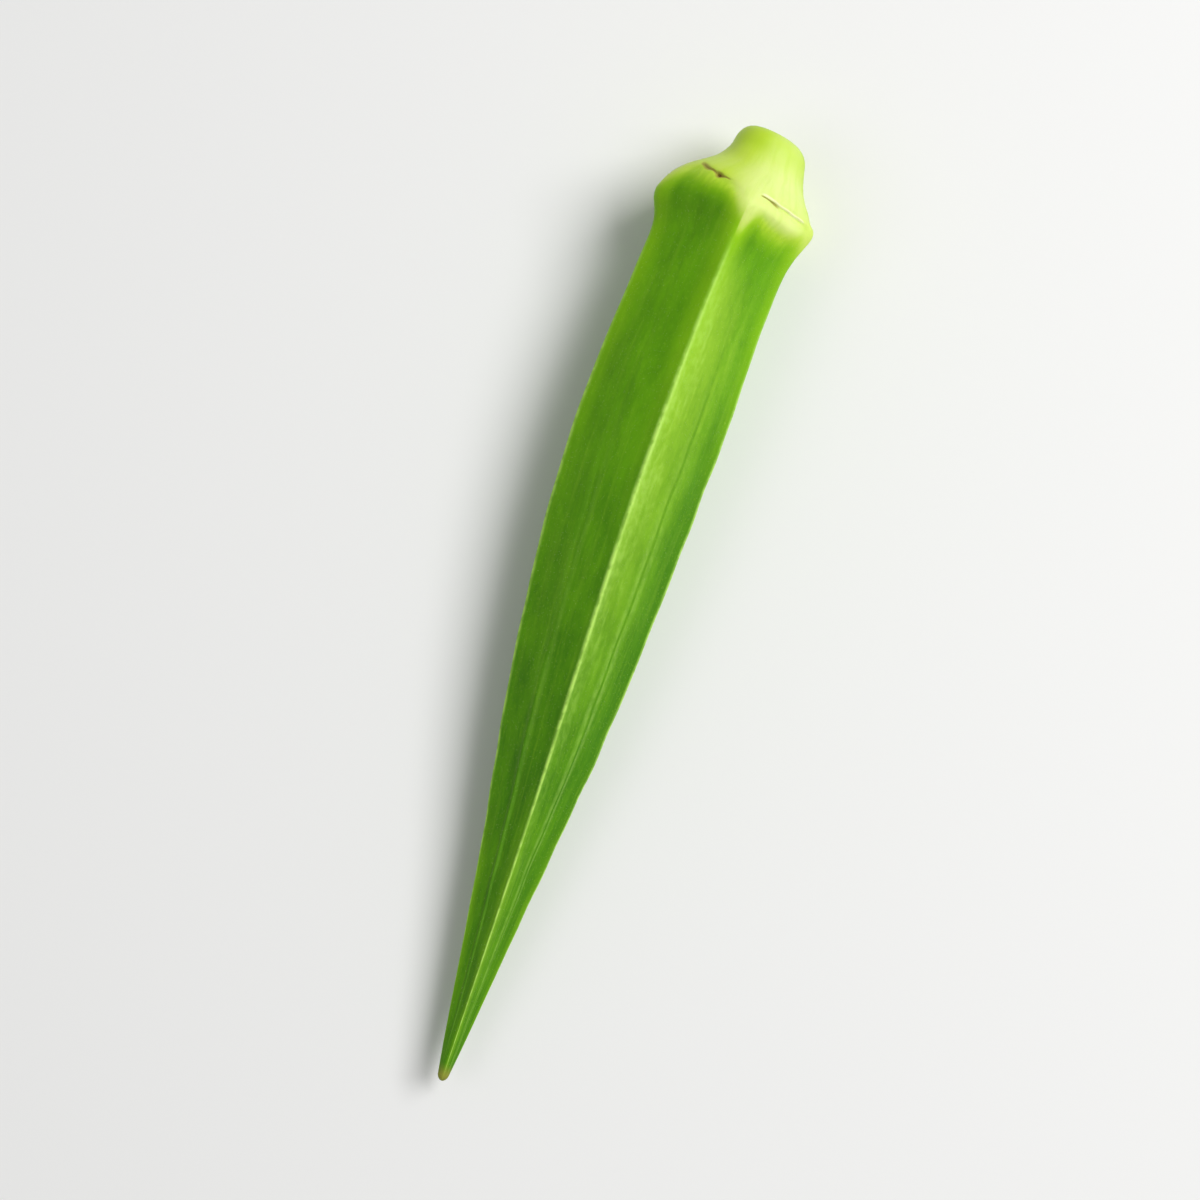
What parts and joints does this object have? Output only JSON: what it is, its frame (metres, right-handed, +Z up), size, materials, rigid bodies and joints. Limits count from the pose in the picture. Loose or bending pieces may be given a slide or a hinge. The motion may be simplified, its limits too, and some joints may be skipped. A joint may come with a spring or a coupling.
{
  "type": "okra pod",
  "caption": "Fresh okra pod lying on its side: a long tapering ridged green pod with a swollen collar, a pale cap and a short cut stem.",
  "frame": {"origin": "under the middle of the pod's box, on the surface it lies on", "axes": "+Y along the pod towards its cut stem, +Z up with the pod lying on one of its facets, +X to the side that the stem leans to"},
  "size_m": [0.021, 0.1276, 0.0202],
  "materials": {
    "pod_skin": "soft matte plant skin with fine down, green, paler on the ridges, yellow-green at the cap and stem"
  },
  "bodies": {
    "root": {"okra_pod": "pod_skin"}
  },
  "joints": []
}
